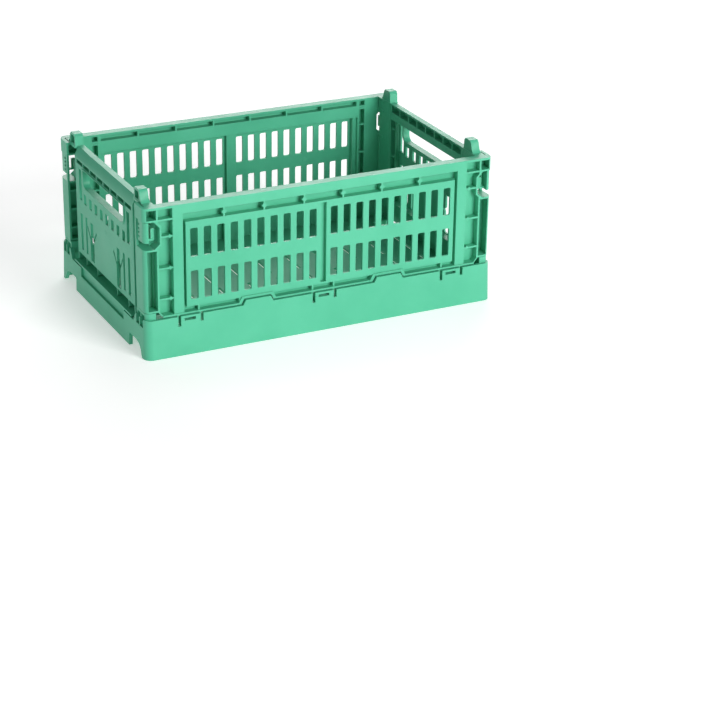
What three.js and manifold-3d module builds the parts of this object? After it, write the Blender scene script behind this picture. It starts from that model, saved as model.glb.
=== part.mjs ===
// A small folding storage crate in one colour of polypropylene, millimetres, +Z up.
// The origin is the middle of the footprint on the ground. +X runs along the long sides and
// -Y is the front. The end walls swing inwards on pins held by the base tray, the long walls
// stand on knuckles in the rim, and a thumb latch sits in each corner window.
import * as THREE from "three";
import { mergeVertices } from "three/addons/utils/BufferGeometryUtils.js";
import Module from "manifold-3d";

const wasm = await Module();
wasm.setup();

// ---- driving dimensions ----------------------------------------------------------------
const FOOT_X = 132.5; // half length of the base at the ground
const FOOT_Y = 85; // half width of the base at the ground
const DRAFT = 0.7; // how much each base wall leans in, ground to rim
const CORNER_R = 6;
const BASE_H = 28.4; // rim of the long base walls
const END_RIM = 21.3; // lower rim of the base's end walls
const BASE_WALL = 2.7;
const FLOOR_TOP = 9.2;
const FLOOR_T = 1.8;
const FLOOR_SLOT = { pitch: 23.1, width: 2.4, near: 5, far: 68 };
const SIDE_Y = 82.2; // outer face of a long wall
const SIDE_X = 131; // outer face of its corner posts
const WALL_H = 107.3; // top of the walls
const SKIN = 1.6; // usual wall thickness of the mouldings
const DEEP = 7.2; // full depth of a long wall's section
const RIB = 1.2;
const SLOT = { pitch: 9.7, width: 5.4, r: 1, first: 8, count: 10, rows: [[38.6, 59], [69, 89.3]] };
const PLATE = { x: 101.2, z0: 33.6, z1: 94.4, t: 0.3 };
const BAND_Z = 100.7; // lower edge of the plain top band
const BORDER = [103.2, 110.4]; // plain upright strip beside the slotted plate
const POST_X = 120.7; // inner side of a corner post
const WINDOW = [78.2, 97.6]; // heights of a latch window
const RETURN_Y = 57; // how far a corner return reaches round the end
const STEP_Z = 33.2; // lower edge of the corner posts
const LUG = { x: [121.4, 127.6], y: [57, 69], top: 115.6 };
const TONGUE = { x: [-99.5, 0, 99.5], half: 7, slit: 2.2, low: 21.4 };
const RIM_TAB = { x: [-49.8, 49.8], half: 11.2, rise: 3.8 };
const SIDE_PIN = { y: 79.4, z: 25.5, r: 1.4 };
const END = { half: 56.4, in: 121.2, out: 128.5, low: 20.6 }; // an end wall's section
const END_PIN = { x: 125, z: 15.5, r: 1.7, y: 30 };
const HANDLE = { half: 39.5, low: 82.6, high: 95.4, r: 5 };
const END_SLOT = { pitch: 10.85, width: 5.2, count: 8, z: [69.5, 77.2] };
const LATCH = { inset: 0.5, near: 127.2, back: 11.2, z: [82.9, 97.2], tip: 122 }; // plate and tongue
const FOOT_CELL = { y: [[66.5, 71.9], [73.1, 78.8]], z: [22.1, 31.1] }; // beside each post's foot
const GAP = 0.4; // play between pieces that move
const OVER = 1; // how far a cutter runs past the face that it cuts
const ARC_STEPS = 4; // straight pieces in each rounded corner
const SEAM = 4e-3; // points nearer than this to a straight edge or a flat face are seams to drop
const GRID = 1000; // points are rounded to a thousandth, so that faces which share a plane match
const PLASTIC = { color: 0x46c89b, roughness: 0.48, metalness: 0 };

// ---- solids ----------------------------------------------------------------------------
function solid(geometry) {
  geometry.deleteAttribute("normal");
  geometry.deleteAttribute("uv");
  const merged = mergeVertices(geometry, 1e-4);
  const onGrid = (value) => Math.round(value * GRID) / GRID;
  const vertProperties = Float32Array.from(merged.attributes.position.array, onGrid);
  const triVerts = new Uint32Array(merged.index.array);
  return new wasm.Manifold(new wasm.Mesh({ numProp: 3, vertProperties, triVerts }));
}

function block(x0, x1, y0, y1, z0, z1) {
  const geometry = new THREE.BoxGeometry(Math.abs(x1 - x0), Math.abs(y1 - y0), Math.abs(z1 - z0));
  geometry.translate((x0 + x1) / 2, (y0 + y1) / 2, (z0 + z1) / 2);
  return solid(geometry);
}

// Extrudes an outline drawn in the two other axes: y and z for "x", x and z for "y", x and y for "z".
function prism(axis, outline, from, to, arcSteps = ARC_STEPS) {
  const shape = Array.isArray(outline)
    ? new THREE.Shape(outline.map(([a, b]) => new THREE.Vector2(a, b)))
    : outline;
  const low = Math.min(from, to);
  const high = Math.max(from, to);
  const settings = { depth: high - low, bevelEnabled: false, curveSegments: arcSteps };
  const geometry = new THREE.ExtrudeGeometry(shape, settings);
  const X = new THREE.Vector3(1, 0, 0);
  const Y = new THREE.Vector3(0, 1, 0);
  const Z = new THREE.Vector3(0, 0, 1);
  const turn = new THREE.Matrix4();
  if (axis === "x") turn.makeBasis(Y, Z, X).setPosition(low, 0, 0);
  if (axis === "y") turn.makeBasis(X, Z, Y.negate()).setPosition(0, high, 0);
  if (axis === "z") turn.makeBasis(X, Y, Z).setPosition(0, 0, low);
  return solid(geometry.applyMatrix4(turn));
}

function pin(axis, radius, from, to, a, b) {
  const circle = new THREE.Shape();
  circle.absarc(a, b, radius, 0, 2 * Math.PI);
  return prism(axis, circle, from, to);
}

function roundedRect(x0, x1, y0, y1, r) {
  const shape = new THREE.Shape();
  shape.absarc(x1 - r, y1 - r, r, 0, Math.PI / 2);
  shape.absarc(x0 + r, y1 - r, r, Math.PI / 2, Math.PI);
  shape.absarc(x0 + r, y0 + r, r, Math.PI, 1.5 * Math.PI);
  shape.absarc(x1 - r, y0 + r, r, 1.5 * Math.PI, 2 * Math.PI);
  return shape;
}

const join = (pieces) => pieces.reduce((whole, piece) => whole.add(piece));
const cut = (whole, pieces) => whole.subtract(join(pieces));
const both = (make) => [make(-1), make(1)];
const steps = (count, make) => Array.from({ length: count }, (_, i) => make(i));

// ---- base tray -------------------------------------------------------------------------
// A block with the base's plan and draft, set in from the outer face by inset.
function baseBlock(inset, z0, z1) {
  const x = FOOT_X - inset;
  const y = FOOT_Y - inset;
  const outline = roundedRect(-x, x, -y, y, Math.max(CORNER_R - inset, 2));
  const settings = { depth: z1 - z0, bevelEnabled: false, curveSegments: ARC_STEPS };
  const geometry = new THREE.ExtrudeGeometry(outline, settings).translate(0, 0, z0);
  const place = geometry.attributes.position;
  for (let i = 0; i < place.count; i++) {
    const lean = (DRAFT * place.getZ(i)) / BASE_H;
    place.setX(i, place.getX(i) * (1 - lean / x));
    place.setY(i, place.getY(i) * (1 - lean / y));
  }
  return solid(geometry);
}

// The end walls are lower than the long walls and slope up to them at the corners.
function endWallDrop() {
  const outline = [
    [-61, END_RIM],
    [61, END_RIM],
    [65.5, BASE_H + OVER],
    [-65.5, BASE_H + OVER],
  ];
  return both((s) => prism("x", outline, s * (END.in - OVER), s * (FOOT_X + OVER)));
}

// Arched openings in the end walls clear the lugs of a crate standing below.
function lugArches() {
  const outline = [
    [53, -OVER],
    [53, 8.2],
    [54.4, 9.6],
    [66, 9.6],
    [71.5, 8.4],
    [74.6, 5.4],
    [76, 1.6],
    [78, -OVER],
  ];
  const mirrored = outline.map(([y, z]) => [-y, z]);
  return both((s) =>
    join([outline, mirrored].map((o) => prism("x", o, s * 117, s * (FOOT_X + OVER)))),
  );
}

function floorSlots() {
  const columns = Math.floor(FOOT_X / FLOOR_SLOT.pitch);
  const half = FLOOR_SLOT.width / 2;
  return steps(2 * columns + 1, (i) => {
    const x = (i - columns) * FLOOR_SLOT.pitch;
    const slots = both((s) =>
      block(x - half, x + half, s * FLOOR_SLOT.near, s * FLOOR_SLOT.far, 4, FLOOR_TOP + OVER),
    );
    return join(slots);
  });
}

// Slits on both sides of each knuckle tongue, and the small window in the tongue.
function tongueCuts() {
  const low = TONGUE.low;
  return both((s) => {
    const wall = [s * 76.5, s * (FOOT_Y + OVER)];
    const cuts = TONGUE.x.flatMap((x) => [
      block(x - TONGUE.half - TONGUE.slit, x - TONGUE.half, ...wall, low, 40),
      block(x + TONGUE.half, x + TONGUE.half + TONGUE.slit, ...wall, low + 1.6, 40),
      block(x - 4.6, x + 3.6, ...wall, 25, 27),
    ]);
    return join(cuts);
  });
}

function rimTab(x, s) {
  const { half, rise } = RIM_TAB;
  const outline = [
    [x - half, BASE_H - 2],
    [x + half, BASE_H - 2],
    [x + half, BASE_H],
    [x + half - 2, BASE_H + rise],
    [x - half + 2, BASE_H + rise],
    [x - half, BASE_H],
  ];
  return prism("y", outline, s * (SIDE_Y - 0.6), s * (FOOT_Y - DRAFT));
}

// The plan of the standing walls, with its rounded corners, set in by inset.
function wallPlan(inset, z0, z1) {
  const x = SIDE_X - inset;
  const y = SIDE_Y - inset;
  return prism("z", roundedRect(-x, x, -y, y, 4.6 - inset), z0, z1);
}

// Blocks on the four corners that the posts of the long walls stand over.
function cornerBlocks() {
  const top = STEP_Z - GAP;
  const squares = both((sx) =>
    join(both((sy) => block(sx * (POST_X + 2.8), sx * SIDE_X, sy * 65, sy * SIDE_Y, 24, top))),
  );
  return join(squares).intersect(wallPlan(0.2, 24, top));
}

// Outward-open cells in the base's ends, shallow in the wall and deeper in the corner block.
function footCells() {
  const [low, high] = FOOT_CELL.z;
  const beyond = FOOT_X + OVER;
  return both((sx) => {
    const cells = FOOT_CELL.y.flatMap(([near, far]) =>
      both((sy) =>
        join([
          block(sx * 130.2, sx * beyond, sy * near, sy * far, low, high),
          block(sx * 127.4, sx * beyond, sy * near, sy * far, 25.2, high),
        ]),
      ),
    );
    return join(cells);
  });
}

// Open snap bearings for the pins of the end walls.
function endBearings(s) {
  const { x, z, r, y } = END_PIN;
  const outline = [
    [s * (x - 3.2), FLOOR_TOP - OVER],
    [s * (x + 3.4), FLOOR_TOP - OVER],
    [s * (x + 3.4), z + 2.2],
    [s * (x + 2.2), z + 3.4],
    [s * (x - 2.2), z + 3.4],
    [s * (x - 3.2), z + 2.2],
  ];
  const bores = [
    pin("y", r + GAP, -50, 50, s * x, z),
    block(s * (x - 1.5), s * (x + 1.5), -50, 50, z, z + 6),
  ];
  const ears = both((side) =>
    join([
      prism("y", outline, side * (y - 9.5), side * (y - 5.5)),
      prism("y", outline, side * (y + 5.5), side * (y + 9.5)),
    ]),
  );
  return cut(join(ears), bores);
}

// Shelves inside the long base walls that carry the pins of the long walls.
function sidePinShelves() {
  const top = SIDE_PIN.z - SIDE_PIN.r - GAP;
  return both((s) =>
    join(
      TONGUE.x.map((x) =>
        block(x - 5.6, x + 5.6, s * 77.4, s * (FOOT_Y - BASE_WALL), FLOOR_TOP - OVER, top),
      ),
    ),
  );
}

function baseTray() {
  const shell = cut(baseBlock(0, 0, BASE_H), [
    baseBlock(BASE_WALL, FLOOR_TOP, BASE_H + OVER),
    baseBlock(BASE_WALL, -OVER, FLOOR_TOP - FLOOR_T),
  ]);
  const recess = both((s) =>
    block(s * (FOOT_X - DRAFT - 1.4), s * (FOOT_X + OVER), -42.5, 42.5, 14.4, END_RIM + OVER),
  );
  const under = [
    ...both((s) => block(-118, 118, s * 40, s * (40 + SKIN), 3, FLOOR_TOP - OVER)),
    ...both((s) => block(s * 60, s * (60 + SKIN), -78, 78, 3, FLOOR_TOP - OVER)),
  ];
  const standing = [
    ...under,
    ...both((s) => join(RIM_TAB.x.map((x) => rimTab(x, s)))),
    ...sidePinShelves(),
    ...both(endBearings),
  ];
  const walls = cut(shell, [...endWallDrop(), ...recess]);
  const tray = join([walls, ...standing, cornerBlocks()]);
  return cut(tray, [...lugArches(), ...floorSlots(), ...tongueCuts(), ...footCells()]);
}

// ---- long walls ------------------------------------------------------------------------
// The front wall is drawn in place: t is the depth from its outer face towards the inside.
const slab = (x0, x1, t0, t1, z0, z1) => block(x0, x1, t0 - SIDE_Y, t1 - SIDE_Y, z0, z1);
const facing = (outline, t0, t1) => prism("y", outline, t0 - SIDE_Y, t1 - SIDE_Y);
const paired = (x0, x1, ...rest) => both((s) => slab(s * x0, s * x1, ...rest));

function diamond(x, z, half) {
  return [
    [x - half, z],
    [x, z - half],
    [x + half, z],
    [x, z + half],
  ];
}

function topBand() {
  const back = DEEP - 1.4;
  const shelf = BAND_Z + 1.3;
  const ribs = [14.6, 44.2, 73.5, 102.8].flatMap((x) =>
    paired(x - RIB / 2, x + RIB / 2, OVER, DEEP, shelf - 0.2, WALL_H - 1),
  );
  const studs = [14.6, 44.2, 73.5].flatMap((x) => [
    ...paired(x - RIB / 2, x + RIB / 2, 0.5, DEEP - 0.2, PLATE.z1 - 0.2, BAND_Z + 0.2),
    ...both((s) => facing(diamond(s * x, 97.6, 2), 0.2, 3)),
  ]);
  return [
    slab(-BORDER[1], BORDER[1], 0, 1.8, BAND_Z, WALL_H),
    slab(-SIDE_X, SIDE_X, 0, DEEP, WALL_H - SKIN, WALL_H),
    slab(-BORDER[1], BORDER[1], 0, DEEP, BAND_Z, shelf),
    slab(-BORDER[0] - OVER, BORDER[0] + OVER, back, DEEP, PLATE.z1 - 1.4, shelf),
    slab(-PLATE.x, PLATE.x, PLATE.t, DEEP, PLATE.z1 - 1.4, PLATE.z1),
    ...ribs,
    ...studs,
  ];
}

function slottedPlate() {
  const { x, z0, z1, t } = PLATE;
  const groove = 2.1;
  return [
    ...paired(groove, x, t, t + 1.8, z0, z1),
    ...paired(groove, groove + 1.4, t, 4.9, z0, z1),
    slab(-groove - 1.4, groove + 1.4, 3.5, 4.9, z0 - 1, z1),
    ...paired(x - 1.4, x, t, 5.4, z0, z1),
    ...paired(x - 1.4, BORDER[0] + 1.4, 4, 5.4, z0 - 1, z1),
    slab(-x, x, t, 5.8, z0, z0 + 1.2),
  ];
}

function slotCutters() {
  return both((s) =>
    join(
      steps(SLOT.count, (i) => {
        const x = s * (SLOT.first + i * SLOT.pitch);
        const half = SLOT.width / 2;
        const outlines = SLOT.rows.map(([z0, z1]) => roundedRect(x - half, x + half, z0, z1, SLOT.r));
        return join(outlines.map((o) => prism("y", o, -OVER - SIDE_Y, 3 - SIDE_Y, 2)));
      }),
    ),
  );
}

function sideBorders() {
  const [x0, x1] = BORDER;
  const ribs = [99.2, 86.4, 64.4, 42].flatMap((z) => paired(x0, x1, OVER, DEEP, z, z + RIB));
  return [
    ...paired(x0, x1, 0, 1.8, 29, WALL_H),
    ...paired(x0, x0 + 1.4, 0, DEEP, 29, WALL_H),
    ...paired(x1 - 1.4, x1, 0, DEEP, 29, WALL_H),
    ...ribs,
  ];
}

// Outward-open cells between the border and the corner post.
function ribColumns() {
  const ribs = [98.1, 86.2, 63.8, 41.9].flatMap((z) => [
    ...paired(BORDER[1] - 1, POST_X + 1, 0.2, DEEP - 1, z - RIB / 2, z + RIB / 2),
    ...both((s) => facing(diamond(s * 112.6, z, z > 90 ? 0.9 : 1.5), 0.1, 3)),
  ]);
  return [
    ...paired(BORDER[1] - 1, POST_X + 1, DEEP - 1.4, DEEP, 29, WALL_H),
    ...paired(POST_X, POST_X + RIB, 0, DEEP, STEP_Z, WALL_H),
    ...ribs,
  ];
}

// The outline of a corner window from the front; grow widens it to make the frame round it.
function windowOutline(s, grow) {
  const [z0, z1] = WINDOW;
  const outline = [
    [SIDE_X + 2, z0 - grow],
    [SIDE_X + 2, z1 + grow],
    [123.6 - grow / 2, z1 + grow],
    [119.6 - grow, 93.2 + grow / 2],
    [119.6 - grow, 81.6 - grow / 2],
    [123.6 - grow / 2, z0 - grow],
  ];
  return outline.map(([x, z]) => [s * x, z]);
}

function cornerPost(s) {
  const wide = SIDE_Y - 66.4;
  const deep = SIDE_Y - RETURN_Y;
  const at = (x0, x1, ...rest) => slab(s * x0, s * x1, ...rest);
  const outer = SIDE_X - 1.5;
  const layers = [WALL_H - SKIN, WINDOW[1], WINDOW[0] - RIB, STEP_Z];
  const ribs = [42, 56, 70].map((z) => at(122.4, SIDE_X, 9.6, wide - 0.8, z, z + RIB));
  return [
    at(outer, SIDE_X, 0, wide, STEP_Z, WALL_H),
    at(outer - 0.9, SIDE_X, 0, 1.5, STEP_Z, WALL_H),
    ...layers.map((z) => at(POST_X, SIDE_X, 0, wide, z, z === layers[0] ? WALL_H : z + RIB)),
    at(END.in, LUG.x[1] + 0.3, wide - 1, deep, WALL_H - SKIN, WALL_H),
    at(END.in, END.in + 1.5, DEEP - 1, deep, 23, WALL_H),
    at(POST_X, outer + 0.2, 9, 10.2, STEP_Z, WINDOW[0]),
    at(POST_X, outer + 0.2, 9, 10.2, WINDOW[1], WALL_H),
    at(END.in + 1, 124, 8.8, 12.2, WINDOW[0] - 1, 93),
    ...ribs,
  ];
}

function stackingLug(s) {
  const [near, far] = LUG.y;
  const top = LUG.top;
  const outline = [
    [-near, WALL_H - OVER],
    [-near - 0.5, top - 1.6],
    [-near - 1.9, top],
    [-far + 3.4, top],
    [-far + 1.6, top - 1.8],
    [-far + 0.4, WALL_H + 2.4],
    [-far - 1.8, WALL_H],
    [-far - 1.8, WALL_H - OVER],
  ];
  const hollow = block(s * 124, s * (LUG.x[1] + OVER), -far + 3.2, -near - 2, WALL_H + 1, top - 1.6);
  return cut(prism("x", outline, s * LUG.x[0], s * LUG.x[1]), [hollow]);
}

// The lower flange follows the base's rim: over its tabs, and up onto its corner blocks.
function lowerFlange() {
  const low = 29;
  const high = low + RIB;
  const { half, rise } = RIM_TAB;
  const climb = rise + GAP;
  const step = (z) => [
    [118.4, z],
    [121.9, z + STEP_Z - low],
    [SIDE_X, z + STEP_Z - low],
  ];
  const ends = both((s) => {
    const outline = [...step(low), ...step(high).reverse()].map(([x, z]) => [s * x, z]);
    return facing(outline, -0.6, 6);
  });
  const bridges = RIM_TAB.x.map((x) =>
    facing(
      [
        [x - half - 2.6, low],
        [x + half + 2.6, low],
        [x + half + 2.6, high],
        [x + half + 0.2, low + climb + RIB],
        [x - half - 0.2, low + climb + RIB],
        [x - half - 2.6, high],
      ],
      -0.6,
      5.8,
    ),
  );
  const ribs = [8.1, 38, 62.6, 92.5].flatMap((x) =>
    paired(x - RIB / 2, x + RIB / 2, 0.4, 5, low, PLATE.z0 + 0.4),
  );
  return [
    slab(-118.6, 118.6, -0.6, 5.8, low, high),
    slab(-BORDER[0] - OVER, BORDER[0] + OVER, 4.4, 5.8, low, PLATE.z0 + 1),
    ...ends,
    ...bridges,
    ...ribs,
  ];
}

function rimTabClearance() {
  const { half, rise } = RIM_TAB;
  const low = BASE_H - OVER;
  return RIM_TAB.x.map((x) =>
    facing(
      [
        [x - half - 0.8, low],
        [x + half + 0.8, low],
        [x + half + 0.8, BASE_H + 0.6],
        [x + half - 1.3, BASE_H + rise + 0.6],
        [x - half + 1.3, BASE_H + rise + 0.6],
        [x - half - 0.8, BASE_H + 0.6],
      ],
      -OVER,
      2,
    ),
  );
}

// Two fingers reach down through the slits of each tongue and carry the pin behind it.
function knuckles() {
  return TONGUE.x.flatMap((x) => {
    const near = x - TONGUE.half - TONGUE.slit + GAP;
    const far = x + TONGUE.half + TONGUE.slit - GAP;
    return [
      slab(near, near + 1.4, 0.6, 4.4, SIDE_PIN.z - 2, 29.4),
      slab(far - 1.4, far, 0.6, 4.4, SIDE_PIN.z - 2, 29.4),
      pin("x", SIDE_PIN.r, near + 0.5, far - 0.5, -SIDE_PIN.y, SIDE_PIN.z),
    ];
  });
}

function longWall() {
  const frames = both((s) => facing(windowOutline(s, RIB), 0, DEEP));
  const added = join([
    ...topBand(),
    ...slottedPlate(),
    ...sideBorders(),
    ...ribColumns(),
    ...frames.map((frame) => frame.intersect(slab(-SIDE_X, SIDE_X, 0, DEEP, 70, 105))),
    ...both((s) => join(cornerPost(s))),
    ...lowerFlange(),
    ...knuckles(),
  ]);
  const plan = wallPlan(0, 0, WALL_H + OVER);
  const flange = slab(-118.6, 118.6, -0.7, 0.1, 28, 36);
  const whole = added.intersect(plan.add(flange));
  const windows = both((s) => facing(windowOutline(s, 0), -2, 8.4));
  const openEnds = both((s) =>
    slab(s * (END.in + 2.8), s * (SIDE_X + 2), 8, 13.5, WINDOW[0], WINDOW[1]),
  );
  const slits = paired(127.9, 128.7, 5.6, 14.2, WALL_H - 2.4, WALL_H + OVER);
  const cutters = [...slotCutters(), ...windows, ...openEnds, ...slits, ...rimTabClearance()];
  return join([cut(whole, cutters), ...both(stackingLug)]);
}

// ---- end walls -------------------------------------------------------------------------
// The right end wall is drawn in place.
function handleBar() {
  const low = HANDLE.high;
  const high = WALL_H + 0.1;
  const web = [99.6, 100.9]; // between the outer and the inner row of pockets
  const outline = [
    [END.in, low],
    [END.out, low],
    [END.out, 101.8],
    [125.6, high],
    [END.in, high],
  ];
  const pitch = 13.5;
  const inner = [
    [END.in - OVER, web[1]],
    [126.4, web[1]],
    [124.2, 106.2],
    [END.in - OVER, 106.2],
  ];
  const pockets = steps(8, (i) => {
    const y = (i - 3.5) * pitch;
    const half = pitch / 2 - RIB / 2;
    return join([
      prism("y", inner, y - half, y + half),
      block(123, END.out + OVER, y - half, y + half, low + 1.3, web[0]),
    ]);
  });
  return cut(prism("y", outline, -END.half, END.half), pockets);
}

function handleLip() {
  const { half, low, high, r } = HANDLE;
  const lip = 1.6;
  const ring = prism("x", roundedRect(-half - lip, half + lip, low - lip, high + 9, r + lip), 124, 129.2);
  return ring.intersect(block(120, 130, -60, 60, 70, high + 0.5));
}

function handleOpening() {
  const { half, low, high, r } = HANDLE;
  const hole = prism("x", roundedRect(-half, half, low, high + 9, r), 115, 135);
  return hole.intersect(block(110, 140, -60, 60, 70, high));
}

// A wide slot that narrows at its top, where two thin arms fork from it.
function forkedSlot(s) {
  const y = s * 26;
  const half = 3.8;
  const [low, neck, top] = [31, 50, 60];
  const arm = (side) => {
    const outline = [
      [y + side * 2, neck - 3.4],
      [y + side * half, neck - 3.4],
      [y + side * 9.6, 54.8],
      [y + side * 8.6, 56.2],
    ];
    return prism("x", outline, 125, 131);
  };
  const stem = prism("x", roundedRect(y - half, y + half, low, neck, 1.2), 125, 131);
  return join([stem, block(125, 131, y - 2.5, y + 2.5, neck - OVER, top), arm(-1), arm(1)]);
}

function endSlots() {
  const { pitch, width, count, z } = END_SLOT;
  const shorts = steps(count, (i) => {
    const y = (i - (count - 1) / 2) * pitch;
    return block(125, 131, y - width / 2, y + width / 2, z[0], z[1]);
  });
  const longs = both((s) =>
    join([
      block(125, 131, s * 44.2, s * 49.2, 70.8, 93.6),
      block(125, 131, s * 44.6, s * 48.6, 33.2, 60.6),
      block(125, 131, s * 35.4, s * 38.6, 33.2, 60.6),
      forkedSlot(s),
    ]),
  );
  return [...shorts, ...longs];
}

// Curved ribs stand in the row of outward-open cells along the foot.
function footRib(y, z0, z1) {
  const bow = 1.6;
  const outline = steps(7, (i) => [y + bow * Math.sin((Math.PI * i) / 6), z0 + ((z1 - z0) * i) / 6]);
  const back = outline.map(([a, b]) => [a + RIB, b]).reverse();
  return prism("x", [...outline, ...back], END.in + 0.5, END.out - 0.2);
}

function endHinge(s) {
  const { x, z, r, y } = END_PIN;
  const half = 5;
  const tab = join([
    block(x - 2.6, x + 2.6, s * y - half, s * y + half, z, END.low + 1),
    pin("y", 2.6, s * y - half, s * y + half, x, z),
  ]);
  return tab.add(pin("y", r, s * y - half - 3.6, s * y + half + 3.6, x, z));
}

function endWall() {
  const field = 29.4; // lower edge of the flat field
  const edge = (y0, y1, x0, x1, z0, z1) => both((s) => block(x0, x1, s * y0, s * y1, z0, z1));
  const ribs = [40.8, 65.6, 87.4].flatMap((z) =>
    edge(51, END.half - 1, 122.4, END.out - 0.5, z, z + RIB),
  );
  const pieces = [
    handleBar(),
    block(END.out - SKIN, END.out, -END.half, END.half, field, HANDLE.high + 0.5),
    ...edge(END.half - 1.5, END.half, END.in, END.out, END.low + 1.4, HANDLE.high + 0.5),
    ...edge(50.6, 51.9, 123.6, END.out - 0.5, field, HANDLE.high + 0.5),
    block(END.in, END.out, -END.half, END.half, field - 0.4, field + 1),
    block(END.in, END.in + 1.5, -END.half, END.half, END.low, field + 0.6),
    block(END.in, 131.6, -END.half, END.half, 22, 23.2),
    ...ribs,
    ...both((s) => footRib(s * 19.6, 22.6, field)),
    ...both((s) => footRib(s * 41.6, 22.6, field)),
    ...both(endHinge),
  ];
  return cut(join([cut(join(pieces), endSlots()), handleLip()]), [handleOpening()]);
}

// ---- corner latches --------------------------------------------------------------------
// The latch of the right front corner: a thumb plate bent round the corner and notched along its far
// edge, with a stepped tongue beside it. It slides along x, clear of the window's frame.
function latch() {
  const { inset, near, back, tip } = LATCH;
  const [z0, z1] = LATCH.z;
  const notch = 1.3;
  const count = 4;
  const bent = wallPlan(inset, z0, z1).subtract(wallPlan(inset + SKIN, z0 - OVER, z1 + OVER));
  const plate = bent.intersect(slab(near, SIDE_X, 0, back, z0, z1));
  const notches = steps(count, (i) => {
    const z = z0 + ((i + 1) * (z1 - z0)) / (count + 1);
    return slab(near + 2, SIDE_X, back - 2.4, back + OVER, z - notch / 2, z + notch / 2);
  });
  const tongue = [
    slab(near, near + 1.4, 1.5, 6, z0, z1),
    slab(tip, near + 0.4, 4.4, 6, 83.3, 84.7),
    slab(tip, 124.4, 4.4, 6, 83.3, 91.8),
  ];
  return join([cut(plate, notches), ...tongue]);
}

// ---- assembly --------------------------------------------------------------------------
function mesh(name, shape) {
  const data = shape.asOriginal().simplify(SEAM).getMesh();
  const geometry = new THREE.BufferGeometry();
  geometry.setAttribute("position", new THREE.BufferAttribute(data.vertProperties, 3));
  geometry.setIndex(new THREE.BufferAttribute(data.triVerts, 1));
  geometry.computeVertexNormals();
  const made = new THREE.Mesh(geometry, new THREE.MeshStandardMaterial(PLASTIC));
  made.name = name;
  return made;
}

const crate = new THREE.Group();
crate.add(mesh("base_tray", baseTray()));

const wall = longWall();
const end = endWall();
const rearHalf = new THREE.Group(); // everything that is repeated half a turn round
rearHalf.rotation.z = Math.PI;
crate.add(rearHalf);
crate.add(mesh("front_side", wall));
rearHalf.add(mesh("rear_side", wall));
crate.add(mesh("right_end", end));
rearHalf.add(mesh("left_end", end));

const rightLatch = latch();
const toLeft = new THREE.Matrix4().makeScale(-1, 1, 1);
const leftLatch = rightLatch.transform(toLeft.elements);
crate.add(mesh("latch_front_right", rightLatch));
crate.add(mesh("latch_front_left", leftLatch));
rearHalf.add(mesh("latch_rear_left", rightLatch));
rearHalf.add(mesh("latch_rear_right", leftLatch));

export default crate;
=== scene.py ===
"""A small folding storage crate in mint-green moulded polypropylene, on a pale studio floor."""

import math

import bmesh
import bpy
from mathutils import Matrix, Vector


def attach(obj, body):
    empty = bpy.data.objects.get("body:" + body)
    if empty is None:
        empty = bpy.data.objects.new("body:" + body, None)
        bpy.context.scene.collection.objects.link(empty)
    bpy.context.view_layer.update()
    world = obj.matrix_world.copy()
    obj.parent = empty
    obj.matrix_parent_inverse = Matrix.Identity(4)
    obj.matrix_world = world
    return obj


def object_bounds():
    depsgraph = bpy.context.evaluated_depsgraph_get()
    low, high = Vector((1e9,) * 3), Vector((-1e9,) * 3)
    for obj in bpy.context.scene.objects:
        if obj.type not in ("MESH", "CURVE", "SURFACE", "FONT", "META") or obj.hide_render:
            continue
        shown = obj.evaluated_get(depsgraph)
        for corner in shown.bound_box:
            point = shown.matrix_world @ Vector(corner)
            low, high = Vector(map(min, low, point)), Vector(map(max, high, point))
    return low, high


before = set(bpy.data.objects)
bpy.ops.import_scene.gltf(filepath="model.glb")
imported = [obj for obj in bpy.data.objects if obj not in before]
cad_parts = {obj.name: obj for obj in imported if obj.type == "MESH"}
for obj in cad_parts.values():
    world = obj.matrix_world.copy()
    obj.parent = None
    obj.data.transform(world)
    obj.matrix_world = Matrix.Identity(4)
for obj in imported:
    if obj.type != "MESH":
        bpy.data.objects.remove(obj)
cad_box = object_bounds()

MM = 0.001
MINT = (0.075, 0.455, 0.275)
MINT_DEEP = (0.060, 0.415, 0.245)
MINT_WORN = (0.180, 0.560, 0.390)
EDGE_RADIUS = 0.28 * MM
RUB_RADIUS = 0.6 * MM  # how far the rubbing spreads from an edge
RUB_SHARE = 0.55  # how much of the rubbed edge's paler colour shows
GRAIN_HEIGHT = 0.03 * MM
WELD_GAP = 0.002 * MM
SHARP = math.radians(32)  # edges flatter than this belong to a curved face


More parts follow.
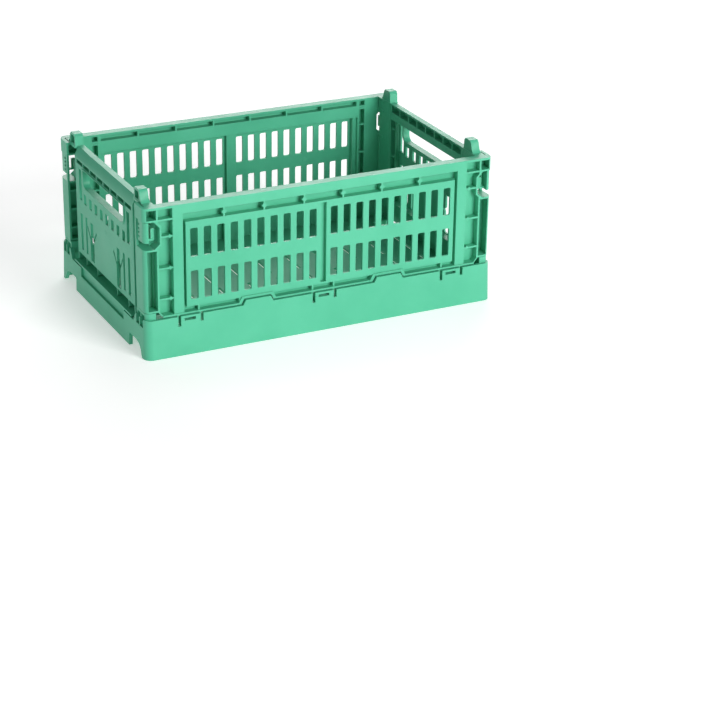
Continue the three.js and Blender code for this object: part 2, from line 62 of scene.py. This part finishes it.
# ---- moulded plastic ---------------------------------------------------------------------
def moulded_plastic(name, roughness, grain, shift):
    """Satin polypropylene: spark-eroded grain, faint flow mottling, paler rubbed edges."""
    material = bpy.data.materials.new(name)
    material.use_nodes = True
    tree = material.node_tree
    shader = tree.nodes["Principled BSDF"]

    def node(kind, **values):
        made = tree.nodes.new(kind)
        for key, value in values.items():
            setattr(made, key, value)
        return made

    def link(source, output, target, socket):
        tree.links.new(source.outputs[output], target.inputs[socket])

    place = node("ShaderNodeTexCoord")
    moved = node("ShaderNodeMapping")
    moved.inputs["Location"].default_value = shift
    link(place, "Object", moved, "Vector")

    def noise(scale, detail, rough=0.5):
        made = node("ShaderNodeTexNoise")
        made.inputs["Scale"].default_value = scale
        made.inputs["Detail"].default_value = detail
        made.inputs["Roughness"].default_value = rough
        link(moved, "Vector", made, "Vector")
        return made

    def ramp(source, output, low, high):
        made = node("ShaderNodeMapRange")
        made.inputs["From Min"].default_value = low
        made.inputs["From Max"].default_value = high
        made.clamp = True
        link(source, output, made, "Value")
        return made

    def mix(factor, output, a, b):
        made = node("ShaderNodeMix", data_type="RGBA")
        link(factor, output, made, 0)
        for socket, value in ((6, a), (7, b)):
            if isinstance(value, tuple):
                made.inputs[socket].default_value = (*value, 1)
            else:
                tree.links.new(value.outputs[2], made.inputs[socket])
        return made

    flow = ramp(noise(26, 4), "Fac", 0.38, 0.66)
    body = mix(flow, "Result", MINT, MINT_DEEP)

    # Edges: where the rounded normal leaves the face's own, broken up by a scuffing noise.
    rounded = node("ShaderNodeBevel", samples=6)
    rounded.inputs["Radius"].default_value = RUB_RADIUS
    face = node("ShaderNodeNewGeometry")
    agree = node("ShaderNodeVectorMath", operation="DOT_PRODUCT")
    link(rounded, "Normal", agree, 0)
    link(face, "Normal", agree, 1)
    edge = ramp(agree, "Value", 0.995, 0.86)
    scuff = ramp(noise(210, 5, 0.62), "Fac", 0.36, 0.68)
    worn = node("ShaderNodeMath", operation="MULTIPLY")
    link(edge, "Result", worn, 0)
    link(scuff, "Result", worn, 1)
    some = node("ShaderNodeMath", operation="MULTIPLY")
    some.inputs[1].default_value = RUB_SHARE
    link(worn, "Value", some, 0)
    colour = mix(some, "Value", body, MINT_WORN)
    tree.links.new(colour.outputs[2], shader.inputs["Base Color"])

    # Roughness drifts with handling, and the grain is cut by finer sparkle.
    handled = noise(48, 3)
    gloss = node("ShaderNodeMapRange")
    gloss.inputs["To Min"].default_value = roughness - 0.06
    gloss.inputs["To Max"].default_value = roughness + 0.08
    link(handled, "Fac", gloss, "Value")
    link(gloss, "Result", shader, "Roughness")

    coarse = noise(grain, 3, 0.6)
    fine = noise(grain * 2.7, 2, 0.5)
    both = node("ShaderNodeMath", operation="ADD")
    link(coarse, "Fac", both, 0)
    link(fine, "Fac", both, 1)
    bump = node("ShaderNodeBump")
    bump.inputs["Strength"].default_value = 0.35
    bump.inputs["Distance"].default_value = GRAIN_HEIGHT
    link(both, "Value", bump, "Height")
    link(bump, "Normal", shader, "Normal")

    shader.inputs["Specular IOR Level"].default_value = 0.42
    shader.inputs["Subsurface Weight"].default_value = 0.08
    shader.inputs["Subsurface Radius"].default_value = (0.4, 1.0, 0.7)
    shader.inputs["Subsurface Scale"].default_value = 1.2 * MM
    return material


tray_plastic = moulded_plastic("mint_tray", 0.46, 1500, (0.0, 0.0, 0.0))
wall_plastic = moulded_plastic("mint_walls", 0.43, 1700, (0.3, 0.1, 0.2))
end_plastic = moulded_plastic("mint_ends", 0.45, 1600, (0.7, 0.4, 0.5))
latch_plastic = moulded_plastic("mint_latches", 0.38, 2100, (0.9, 0.8, 0.1))

FINISH = {
    "base_tray": tray_plastic,
    "front_side": wall_plastic,
    "rear_side": wall_plastic,
    "left_end": end_plastic,
    "right_end": end_plastic,
    "latch_front_left": latch_plastic,
    "latch_front_right": latch_plastic,
    "latch_rear_left": latch_plastic,
    "latch_rear_right": latch_plastic,
}


def soften(node, material):
    """Rounds the moulding's edges, and shades curved corners smoothly and flat faces evenly."""
    node.data.materials.clear()
    node.data.materials.append(material)
    node.data.polygons.foreach_set("use_smooth", [True] * len(node.data.polygons))
    weld = node.modifiers.new("weld", "WELD")
    weld.merge_threshold = WELD_GAP
    bevel = node.modifiers.new("edge_radius", "BEVEL")
    bevel.width = EDGE_RADIUS
    bevel.segments = 2
    bevel.limit_method = "ANGLE"
    bevel.angle_limit = SHARP
    bevel.use_clamp_overlap = True
    even = node.modifiers.new("even_shading", "WEIGHTED_NORMAL")
    even.mode = "FACE_AREA"
    even.weight = 100


for name, material in FINISH.items():
    soften(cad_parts[name], material)


# ---- gate marks --------------------------------------------------------------------------
# Radius and height of the mark's surface in millimetres, from its rim to the tip of the nub.
GATE_PROFILE = (
    (1.55, 0.0), (1.5, 0.09), (1.32, 0.13), (1.1, 0.06),
    (0.6, 0.04), (0.42, 0.1), (0.22, 0.19), (0.0, 0.2),
)
GATE_SIDES = 32


def gate_mark(name, centre, outward, body, material):
    """The trace of a moulding gate: a shallow dished ring with a clipped nub in the middle."""
    mesh = bmesh.new()
    angles = [2 * math.pi * i / GATE_SIDES for i in range(GATE_SIDES)]
    rings = []
    for radius, height in GATE_PROFILE[:-1]:
        points = [(radius * math.cos(a), radius * math.sin(a), height) for a in angles]
        rings.append([mesh.verts.new(point) for point in points])
    tip = mesh.verts.new((0, 0, GATE_PROFILE[-1][1]))
    for low, high in zip(rings, rings[1:]):
        for i in range(GATE_SIDES):
            j = (i + 1) % GATE_SIDES
            mesh.faces.new((low[i], low[j], high[j], high[i]))
    for i in range(GATE_SIDES):
        mesh.faces.new((rings[-1][i], rings[-1][(i + 1) % GATE_SIDES], tip))
    mesh.transform(Matrix.Scale(MM, 4))
    data = bpy.data.meshes.new(name)
    mesh.to_mesh(data)
    mesh.free()
    data.polygons.foreach_set("use_smooth", [True] * len(data.polygons))
    data.materials.append(material)
    mark = bpy.data.objects.new(name, data)
    bpy.context.scene.collection.objects.link(mark)
    turned = Vector(outward).to_track_quat("Z", "Y").to_matrix().to_4x4()
    mark.matrix_world = Matrix.Translation(Vector(centre) * MM) @ turned
    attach(mark, body)


PLATE_Y = 80.1  # inner face of a long wall's slotted plate
PLATE_GATE = (61.5, 63.7)  # distance from the middle, and height
END_X = 128.5  # outer face of an end wall
END_GATE = (2.0, 62.9)
for side, body in ((-1, "front_wall"), (1, "rear_wall")):
    for half, label in ((-1, "left"), (1, "right")):
        centre = (half * PLATE_GATE[0], side * PLATE_Y, PLATE_GATE[1])
        gate_mark(f"gate_{body}_{label}", centre, (0, -side, 0), body, wall_plastic)
for side, label in ((-1, "left"), (1, "right")):
    centre = (side * END_X, side * END_GATE[0], END_GATE[1])
    gate_mark(f"gate_{label}_end", centre, (side, 0, 0), f"{label}_end_wall", end_plastic)


# ---- studio ------------------------------------------------------------------------------
def floor_material():
    """White studio paper that glows a little of its own, so that its shadows stay pale."""
    material = bpy.data.materials.new("studio_paper")
    material.use_nodes = True
    shader = material.node_tree.nodes["Principled BSDF"]
    shader.inputs["Base Color"].default_value = (0.85, 0.85, 0.85, 1)
    shader.inputs["Roughness"].default_value = 0.8
    shader.inputs["Specular IOR Level"].default_value = 0.1
    shader.inputs["Emission Color"].default_value = (1, 1, 1, 1)
    shader.inputs["Emission Strength"].default_value = 0.42
    return material


FLOOR_REACH = 6.0
corners = [
    (x * FLOOR_REACH, y * FLOOR_REACH, 0)
    for x, y in ((-1, -1), (1, -1), (1, 1), (-1, 1))
]
floor_data = bpy.data.meshes.new("floor")
floor_data.from_pydata(corners, [], [(0, 1, 2, 3)])
floor_data.materials.append(floor_material())
floor = bpy.data.objects.new("floor", floor_data)
floor.location.z = cad_box[0][2]
bpy.context.scene.collection.objects.link(floor)

world = bpy.data.worlds.new("studio")
world.use_nodes = True
world.node_tree.nodes["Background"].inputs["Color"].default_value = (1, 1, 1, 1)
world.node_tree.nodes["Background"].inputs["Strength"].default_value = 0.13
bpy.context.scene.world = world


def softbox(name, place, target, size, power):
    light = bpy.data.lights.new(name, "AREA")
    light.shape = "RECTANGLE"
    light.size, light.size_y = size
    light.energy = power
    lamp = bpy.data.objects.new(name, light)
    lamp.location = place
    lamp.rotation_euler = (Vector(target) - Vector(place)).to_track_quat("-Z", "Y").to_euler()
    bpy.context.scene.collection.objects.link(lamp)


# Name, place, the point that it faces, size in metres and power in watts.
SOFTBOXES = (
    ("key", (0.45, -1.6, 0.62), (0, 0, 0.05), (0.8, 0.8), 28),
    ("top", (0.1, 0.3, 1.5), (0, 0, 0.05), (1.1, 1.1), 4),
    ("sheen", (0.75, 1.65, 0.85), (0, 0, 0.1), (1.5, 0.7), 20),
    ("side", (-1.6, -0.4, 0.45), (0, 0, 0.06), (0.7, 0.7), 4),
)
for box in SOFTBOXES:
    softbox(*box)

# ---- camera ------------------------------------------------------------------------------
AZIMUTH, ELEVATION, ROLL = (math.radians(a) for a in (-26.8643, 24.3897, 1.0047))
CAMERA_PLACE = Vector((-0.60013, -1.32486, 0.60175))
LENS = 108.106
SENSOR = 36

back = Vector((
    math.sin(AZIMUTH) * math.cos(ELEVATION),
    -math.cos(AZIMUTH) * math.cos(ELEVATION),
    math.sin(ELEVATION),
))
level = Vector((0, 0, 1)).cross(back).normalized()
upward = back.cross(level)
right = math.cos(ROLL) * level + math.sin(ROLL) * upward
up = math.cos(ROLL) * upward - math.sin(ROLL) * level
lens = bpy.data.cameras.new("camera")
lens.lens = LENS
lens.sensor_width = SENSOR
lens.clip_end = 50
camera = bpy.data.objects.new("camera", lens)
turned = Matrix((right, up, back)).transposed().to_4x4()
camera.matrix_world = Matrix.Translation(CAMERA_PLACE) @ turned
bpy.context.scene.collection.objects.link(camera)
bpy.context.scene.camera = camera
bpy.context.scene.view_settings.view_transform = "Standard"
